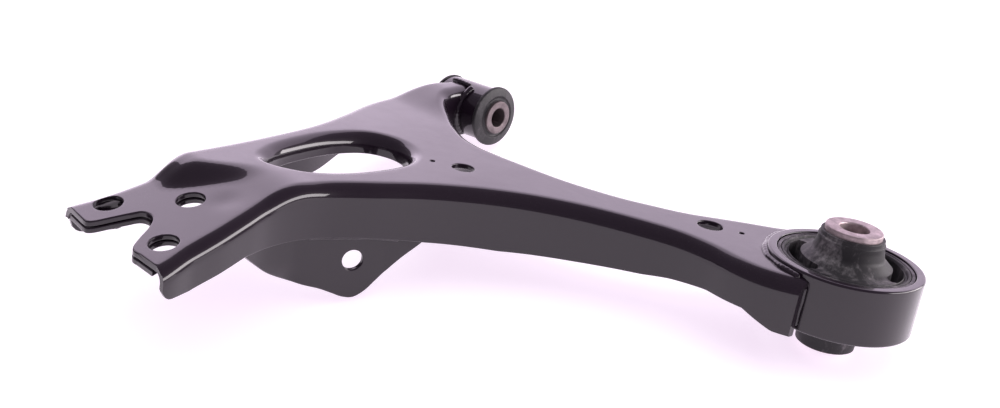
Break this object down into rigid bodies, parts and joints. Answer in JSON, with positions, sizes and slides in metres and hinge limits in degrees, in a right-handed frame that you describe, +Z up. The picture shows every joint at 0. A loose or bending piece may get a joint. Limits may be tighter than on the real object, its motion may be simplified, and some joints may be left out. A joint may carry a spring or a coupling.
{
  "type": "suspension control arm",
  "caption": "Stamped steel lower control arm with an upright rear bush in a welded ring, a slim front bush in a welded tube, a forked ball joint seat and a link bracket.",
  "frame": {"origin": "centre of the rear bush, on the swing axis, half way up its inner sleeve", "axes": "+X along the swing axis towards the front bush, +Y outboard towards the ball joint fork, +Z up along the rear bush's sleeve"},
  "size_m": [0.363, 0.3565, 0.0872],
  "materials": {
    "black_paint": "gloss black dip coat",
    "weld_paint": "gloss black dip coat over weld ripples",
    "rubber": "matt moulded rubber with pale release dust",
    "bush_steel": "turned, dull brownish grey phosphate"
  },
  "bodies": {
    "arm": {"arm_shell": "black_paint", "fork_backing_plate": "black_paint", "ball_joint_weld_nut": "black_paint", "link_bracket": "black_paint", "rear_bush_housing": "black_paint", "rear_bush_outer_sleeve": "bush_steel", "rear_bush_rubber": "rubber", "front_bush_housing": "black_paint", "front_bush_outer_sleeve": "bush_steel", "front_bush_rubber": "rubber", "weld_ring_top": "weld_paint", "weld_ring_inboard": "weld_paint", "weld_ring_outboard": "weld_paint", "weld_tube_rear_side": "weld_paint", "weld_tube_front_side": "weld_paint", "weld_tube_top": "weld_paint", "weld_bracket_outer": "weld_paint", "weld_bracket_inner": "weld_paint", "weld_backing_near": "weld_paint", "weld_backing_far": "weld_paint"},
    "rear_sleeve": {"rear_bush_inner_sleeve": "bush_steel"},
    "front_sleeve": {"front_bush_inner_sleeve": "bush_steel"}
  },
  "joints": [
    {"name": "rear_sleeve_tilt", "type": "hinge", "parent": "arm", "child": "rear_sleeve", "pos_m": [0, 0, 0], "axis": [1, 0, 0], "range_deg": [-12, 12], "stiffness_Nm_per_rad": 20, "deforming": ["rear_bush_rubber"]},
    {"name": "front_sleeve_twist", "type": "hinge", "parent": "arm", "child": "front_sleeve", "pos_m": [0.2955, 0.0015, 0.002], "axis": [-0.9951, -0.0783, 0.061], "range_deg": [-12, 12], "stiffness_Nm_per_rad": 1.5}
  ]
}
